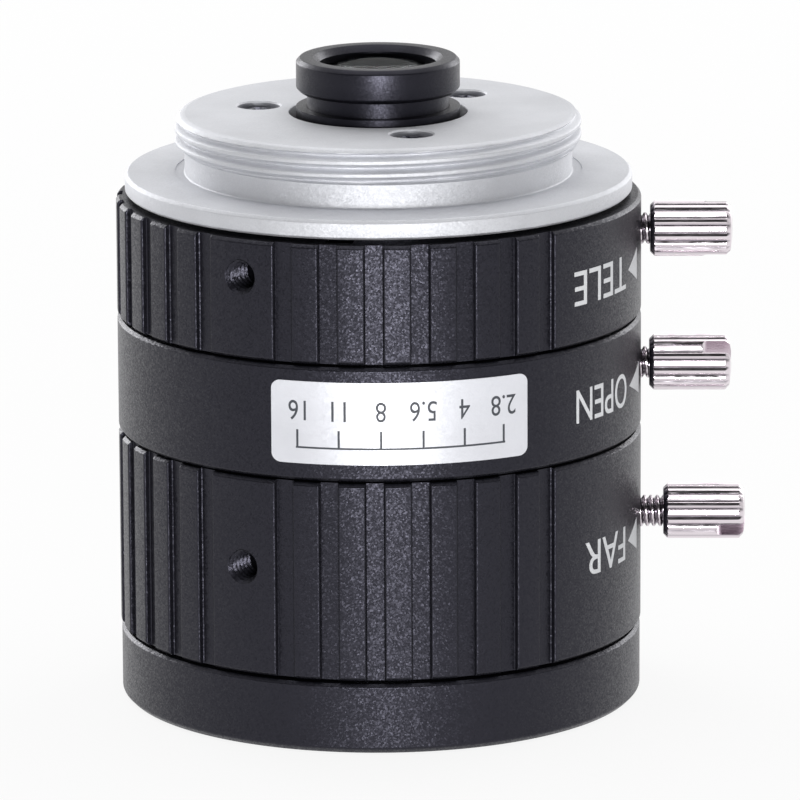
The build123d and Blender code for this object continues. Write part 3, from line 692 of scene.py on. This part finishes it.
def lock_screw(s, name):
    """A knurled thumb screw with a threaded stud and a driver slot."""
    height, foot, neck, slot_turn = LOCK_SCREWS[name]
    end, radius, bevel, knurls = neck + 5.05, 1.74, 0.28, 20
    crest, point, tip_bore, tip_depth = 1.0, 0.75, 0.5, 0.65
    depth = mm(s.knurl_depth)
    # Along one knurl: share of its pitch, share of its depth
    knurl = ((-0.5, 0), (-0.33, 0), (-0.27, 0.15), (-0.02, 1), (0.02, 1), (0.27, 0.15), (0.33, 0))
    columns = [((i + share) * 360 / knurls, radius - depth * cut) for i in range(knurls) for share, cut in knurl]

    def section(angle):
        stud = []
        for z in heights(foot + 0.12, neck - 0.02, 0.033):
            cut = thread_radius(z, angle, mm(s.lock_pitch), crest, mm(s.lock_groove))
            stud.append((min(cut, point + (z - foot)), z))
        tip = [(0, foot + tip_depth), (tip_bore, foot + tip_depth), (tip_bore, foot), (0.8, foot)]
        head = soften([
            (stud[-1][0], neck, 0), (radius - bevel, neck, 0.06), (radius, neck + bevel, 0.12),
            (radius, end - bevel, 0.12), (radius - bevel, end, 0.1), (0.7, end + 0.1, 0), (0, end + 0.12, 0),
        ], closed=False)
        return tip + stud + head

    half, floor = 0.425, end - 1.8
    slot = []
    for x in (-3, 3):
        arc = [(x, half * math.cos(math.radians(a)), floor + half + half * math.sin(math.radians(a)))
               for a in range(180, 361, 20)]
        slot.append(arc + [(x, half, end + 1), (x, -half, end + 1)])
    driver_slot = placed(ladder(slot), Matrix.Rotation(math.radians(-slot_turn), 4, "Z"))
    mesh = carve(spin(columns, section, closed=False), [driver_slot])

    def hollow(v):
        """Strength of the painted shade: from 0 on a crest to 1 down in a knurl, and less down in the stud's
        thread.
        """
        reach = math.hypot(v.x, v.y)
        if v.z < neck - 0.01:
            return 0.2 + 0.6 * (crest - reach) / mm(s.lock_groove)
        return (radius - 0.04 - reach) / depth if v.z < end - 0.1 else 0.0

    # Painted shade: the nickel finish darkens by this value down in the knurls and the thread.
    shade_recess(mesh, hollow)
    piece(f"{name}_lock_screw_knurled", placed(mesh, radial_frame(0, height)), f"{name}_lock_screw", "nickel",
          "nickel", f"{name}_lock_screw")


def flat_text(text, height, width=None, narrow=1.0):
    """The faces of a word round the origin, as wide as given or narrowed by a share."""
    curve = bpy.data.curves.new("text", "FONT")
    curve.body = text
    curve.resolution_u = 6
    holder = bpy.data.objects.new("text", curve)
    bpy.context.scene.collection.objects.link(holder)
    shaped = holder.evaluated_get(bpy.context.evaluated_depsgraph_get())
    mesh = bpy.data.meshes.new_from_object(shaped)
    bpy.data.objects.remove(holder)
    xs = [v.co.x for v in mesh.vertices]
    ys = [v.co.y for v in mesh.vertices]
    mesh.transform(Matrix.Translation((-(min(xs) + max(xs)) / 2, -(min(ys) + max(ys)) / 2, 0)))
    tall = height / (max(ys) - min(ys))
    wide = width / (max(xs) - min(xs)) if width else tall * narrow
    mesh.transform(Matrix.Diagonal((wide, tall, 1, 1)))
    return mesh


def flat_shape(points):
    """One flat face through points."""
    mesh = bpy.data.meshes.new("shape")
    mesh.from_pydata([(x, y, 0) for x, y in points], [], [list(range(len(points)))])
    return mesh


def wrapped(flats, radius, angle, height, thickness):
    """Flat artwork bent round the axis upside down, as on a lens that stands on its front."""
    bm = bmesh.new()
    for flat in flats:
        bm.from_mesh(flat)
    bmesh.ops.remove_doubles(bm, verts=bm.verts, dist=1e-4)
    reach = max(abs(v.co.x) for v in bm.verts)
    for x in heights(-reach, reach, 0.3)[1:-1]:
        everything = bm.verts[:] + bm.edges[:] + bm.faces[:]
        bmesh.ops.bisect_plane(bm, geom=everything, plane_co=(x, 0, 0), plane_no=(1, 0, 0))
    raised = bmesh.ops.extrude_face_region(bm, geom=bm.faces[:])
    top = {item for item in raised["geom"] if isinstance(item, bmesh.types.BMVert)}
    for v in bm.verts:
        a = math.radians(angle) - v.co.x / radius
        r = radius + (thickness if v in top else -0.01)
        v.co = (r * math.cos(a), r * math.sin(a), height - v.co.y)
    return tidy(bm)


def words(s):
    """The generic setting words of the rings, each with its triangle, on both sides of the lock screw."""
    radius, cap, thickness = mm(s.ring_radius), mm(s.print_height), mm(s.print_thickness)
    # ring, height, each word with its width and the angle of its middle, angle of the triangle's tip and foot
    rows = (
        ("zoom", 28.1, ("TELE", 6.2, 31.3), ("WIDE", 6.2, 31.3), 18.8, 11.6),
        ("iris", 20.65, ("OPEN", 6.15, 30.7), ("CLOSE", 7.4, 32.6), 17.9, 8.8),
        ("focus", 10.75, ("FAR", 5.1, 29.5), ("NEAR", 6.6, 31.7), 18.6, 11.3),
    )
    for name, height, near, far, *triangle in rows:
        tip, foot = [math.radians(a) * radius for a in triangle]
        meshes = []
        for side, (text, width, middle) in ((-1, near), (1, far)):
            word = flat_text(text, cap, width)
            meshes.append(wrapped([word], radius, side * middle, height, thickness))
            arrow = flat_shape([(-foot * side, 1.0), (-tip * side, 0), (-foot * side, -1.0)])
            meshes.append(wrapped([arrow], radius, 0, height, thickness))
        piece(f"{name}_words", merge(meshes), f"{name}_ring", "label_foil", "marking_paint", sharp=60)


def label_numbers(s):
    """A plain aperture scale on the label."""
    low, high = extent("iris_label")
    foil_radius, foil_angle, middle = mm(s.ring_radius) + 0.08, -84.1, (low.z + high.z) / 2
    start, step, cap, baseline = -6.5, 2.6, 1.25, -0.75
    half, tick_foot, line_foot, line_top, line_end = 0.07, 0.45, 1.5, 1.62, 6.6
    flats = []
    for i, text in enumerate(("2.8", "4", "5.6", "8", "11", "16")):
        x = start + step * i
        number = flat_text(text, cap, narrow=0.82)
        flats.append(placed(number, Matrix.Translation((x, baseline, 0))))
        flats.append(flat_shape([(x - half, tick_foot), (x + half, tick_foot), (x + half, line_foot),
                                 (x - half, line_foot)]))
    flats.append(flat_shape([(-line_end, line_foot), (line_end, line_foot), (line_end, line_top),
                             (-line_end, line_top)]))
    mesh = wrapped(flats, foil_radius, foil_angle, middle, 0.003)
    piece("label_numbers", mesh, "iris_ring", "label_foil", "ink", sharp=60)


NODE_FINISHES = {
    "barrel": "satin_black", "zoom_carrier": "satin_black", "iris_label": "label_foil",
    "iris_actuator": "black_inner", "iris_base": "black_inner", "iris_retaining_ring": "black_inner",
    "rear_spacer": "black_inner", "rear_retaining_ring": "black_inner", "zoom_retaining_ring": "black_inner",
    "front_cell": "black_inner", "front_retaining_ring": "satin_black", "inner_spacer": "black_inner",
    "inner_retaining_ring": "black_inner", "iris_drive_pin": "pin_steel", "zoom_guide_pins": "pin_steel",
    "focus_guide_pins": "pin_steel",
}


def dress_nodes():
    """Give every CAD node that stays in view its finish."""
    for name, obj in frame["nodes"].items():
        if obj.hide_render:
            continue
        finish = NODE_FINISHES.get(name)
        if "lens" in name:
            finish = "coated_glass"
        elif "blade" in name:
            finish = "blade_steel"
        elif "lock_tip" in name:
            finish = "tip_brass"
        if finish is None:
            raise RuntimeError(f"no finish is chosen for {name}")
        obj.data.materials.clear()
        obj.data.materials.append(material(finish))


# Studio

def studio_floor():
    """A wide pale disc under the lens, white to the camera but for the lens's soft shadow."""
    bm = bmesh.new()
    radius, sunk, seen_share = 1.2, 0.02 * MM, 0.88
    bmesh.ops.create_circle(bm, cap_ends=True, segments=96, radius=radius)
    mesh = bpy.data.meshes.new("floor")
    bm.to_mesh(mesh)
    bm.free()
    floor = bpy.data.objects.new("floor", mesh)
    floor.location.z = -sunk
    bpy.context.scene.collection.objects.link(floor)
    paper = bpy.data.materials.new("floor_paper")
    paper.use_nodes = True
    tree = paper.node_tree
    tree.nodes.clear()
    rays = node(tree, "ShaderNodeLightPath", {})
    seen = node(tree, "ShaderNodeMath", {0: rays.outputs["Is Camera Ray"], 1: rays.outputs["Is Glossy Ray"]},
                operation="MAXIMUM")
    seen = node(tree, "ShaderNodeMath", {0: seen.outputs[0], 1: rays.outputs["Is Transmission Ray"]},
                operation="MAXIMUM")
    glow = node(tree, "ShaderNodeEmission", {"Color": (1, 1, 1, 1), "Strength": 1.0})
    matt = node(tree, "ShaderNodeBsdfDiffuse", {"Color": (*linear("#ededed"), 1.0)})
    part = node(tree, "ShaderNodeMath", {0: seen.outputs[0], 1: seen_share}, operation="MULTIPLY")
    mix = node(tree, "ShaderNodeMixShader", {0: part.outputs[0], 1: matt.outputs[0], 2: glow.outputs[0]})
    node(tree, "ShaderNodeOutputMaterial", {"Surface": mix.outputs[0]})
    paper.cycles.emission_sampling = "NONE"
    mesh.materials.append(paper)


def studio_world():
    """White all round to the eye and through glass, and as a light dimmer towards the front."""
    world = bpy.data.worlds.new("studio")
    bpy.context.scene.world = world
    world.use_nodes = True
    tree = world.node_tree
    tree.nodes.clear()
    rays = node(tree, "ShaderNodeLightPath", {})
    place = node(tree, "ShaderNodeTexCoord", {})
    axes = node(tree, "ShaderNodeSeparateXYZ", {0: place.outputs["Generated"]})
    light = node(tree, "ShaderNodeMapRange", {"Value": axes.outputs["Y"], "From Min": -0.6, "From Max": 0.2,
                                              "To Min": 0.04, "To Max": 0.85})
    seen = node(tree, "ShaderNodeMath", {0: rays.outputs["Is Camera Ray"], 1: rays.outputs["Is Transmission Ray"]},
                operation="MAXIMUM")
    level = node(tree, "ShaderNodeMath", {0: seen.outputs[0], 1: light.outputs["Result"]}, operation="MAXIMUM")
    sky = node(tree, "ShaderNodeBackground", {"Color": (1, 1, 1, 1), "Strength": level.outputs[0]})
    node(tree, "ShaderNodeOutputWorld", {"Surface": sky.outputs[0]})


# name, place and size in metres, power in watts
SOFTBOXES = (
    ("front softbox", (0.03, -0.42, 0.045), 0.14, 0.08, 1.4),
    ("top softbox", (0.0, 0.1, 0.8), 0.8, 0.8, 2.2),
    ("left rim light", (-0.4, 0.5, 0.16), 0.3, 0.4, 1.8),
    ("right rim light", (0.4, 0.5, 0.16), 0.3, 0.4, 1.3),
)


def lamp(name, place, width, depth, power):
    """A softbox aimed at the middle of the lens."""
    data = bpy.data.lights.new(name, "AREA")
    data.shape = "RECTANGLE"
    data.size, data.size_y, data.energy = width, depth, power
    made = bpy.data.objects.new(name, data)
    made.location = place
    middle = Vector((0, 0, 0.022))
    aim = middle - made.location
    made.rotation_mode = "QUATERNION"
    made.rotation_quaternion = aim.to_track_quat("-Z", "Y")
    bpy.context.scene.collection.objects.link(made)


def studio_camera():
    """The photograph's viewpoint: a long lens, a little above the object."""
    data = bpy.data.cameras.new("camera")
    data.sensor_width = 36
    data.lens = 359.613
    data.clip_start, data.clip_end = 0.01, 20
    place = Vector((9.843, -490.323, 133.245)) * MM
    heading, downward, roll = 1.001, 13.160, -0.288
    camera = bpy.data.objects.new("camera", data)
    camera.matrix_world = (Matrix.Translation(place)
                           @ Matrix.Rotation(math.radians(heading), 4, "Z")
                           @ Matrix.Rotation(math.radians(90 - downward), 4, "X")
                           @ Matrix.Rotation(math.radians(roll), 4, "Z"))
    bpy.context.scene.collection.objects.link(camera)
    bpy.context.scene.camera = camera


# Operators, one for each piece or group of like pieces

class LENS_OT_rings(bpy.types.Operator):
    """Make the zoom, iris and focus rings"""
    bl_idname = "lens.rings"
    bl_label = "Control rings"

    def execute(self, context):
        sizes = context.scene.lens_sizes
        grip_ring(sizes, "zoom_ring", "zoom")
        grip_ring(sizes, "focus_ring", "focus")
        iris_ring(sizes)
        return {"FINISHED"}


class LENS_OT_bezel(bpy.types.Operator):
    """Make the front bezel with its filter thread"""
    bl_idname = "lens.bezel"
    bl_label = "Front bezel"

    def execute(self, context):
        bezel(context.scene.lens_sizes)
        return {"FINISHED"}


class LENS_OT_mount(bpy.types.Operator):
    """Make the camera mount and its screws"""
    bl_idname = "lens.mount"
    bl_label = "Camera mount"

    def execute(self, context):
        mount(context.scene.lens_sizes)
        mount_screws(context.scene.lens_sizes)
        return {"FINISHED"}


class LENS_OT_rear_cell(bpy.types.Operator):
    """Make the rear lens cell"""
    bl_idname = "lens.rear_cell"
    bl_label = "Rear cell"

    def execute(self, context):
        rear_cell(context.scene.lens_sizes)
        return {"FINISHED"}


class LENS_OT_lock_screws(bpy.types.Operator):
    """Make the three knurled lock screws"""
    bl_idname = "lens.lock_screws"
    bl_label = "Lock screws"

    def execute(self, context):
        for name in LOCK_SCREWS:
            lock_screw(context.scene.lens_sizes, name)
        return {"FINISHED"}


class LENS_OT_markings(bpy.types.Operator):
    """Make the words on the rings and the numbers on the label"""
    bl_idname = "lens.markings"
    bl_label = "Markings"

    def execute(self, context):
        words(context.scene.lens_sizes)
        label_numbers(context.scene.lens_sizes)
        return {"FINISHED"}


class LENS_OT_inner_parts(bpy.types.Operator):
    """Give the tube, glass, iris, pins and tips their finishes"""
    bl_idname = "lens.inner_parts"
    bl_label = "Inner parts"

    def execute(self, context):
        dress_nodes()
        return {"FINISHED"}


class LENS_OT_stage(bpy.types.Operator):
    """Make the floor, surroundings, lamps and camera"""
    bl_idname = "lens.stage"
    bl_label = "Studio"

    def execute(self, context):
        studio_floor()
        studio_world()
        for softbox in SOFTBOXES:
            lamp(*softbox)
        studio_camera()
        context.scene.view_settings.view_transform = "Standard"
        return {"FINISHED"}


OPERATORS = (LENS_OT_rings, LENS_OT_bezel, LENS_OT_mount, LENS_OT_rear_cell, LENS_OT_lock_screws,
             LENS_OT_markings, LENS_OT_inner_parts, LENS_OT_stage)


class LENS_PT_panel(bpy.types.Panel):
    """Lists the lens's settings and pieces"""
    bl_idname = "LENS_PT_panel"
    bl_label = "Varifocal lens"
    bl_space_type = "VIEW_3D"
    bl_region_type = "UI"
    bl_category = "Lens"

    def draw(self, context):
        for group in (context.scene.lens_sizes, context.scene.lens_finishes):
            for key in group.__annotations__:
                self.layout.prop(group, key)
        for operator in OPERATORS:
            self.layout.operator(operator.bl_idname)


CLASSES = (LensSizes, LensFinishes, *OPERATORS, LENS_PT_panel)


def register():
    for cls in CLASSES:
        bpy.utils.register_class(cls)
    bpy.types.Scene.lens_sizes = PointerProperty(type=LensSizes)
    bpy.types.Scene.lens_finishes = PointerProperty(type=LensFinishes)


def unregister():
    del bpy.types.Scene.lens_finishes
    del bpy.types.Scene.lens_sizes
    for cls in reversed(CLASSES):
        bpy.utils.unregister_class(cls)


def main():
    register()
    bpy.ops.lens.rings()
    bpy.ops.lens.bezel()
    bpy.ops.lens.mount()
    bpy.ops.lens.rear_cell()
    bpy.ops.lens.lock_screws()
    bpy.ops.lens.markings()
    bpy.ops.lens.inner_parts()
    bpy.ops.lens.stage()


if __name__ == "__main__":
    main()
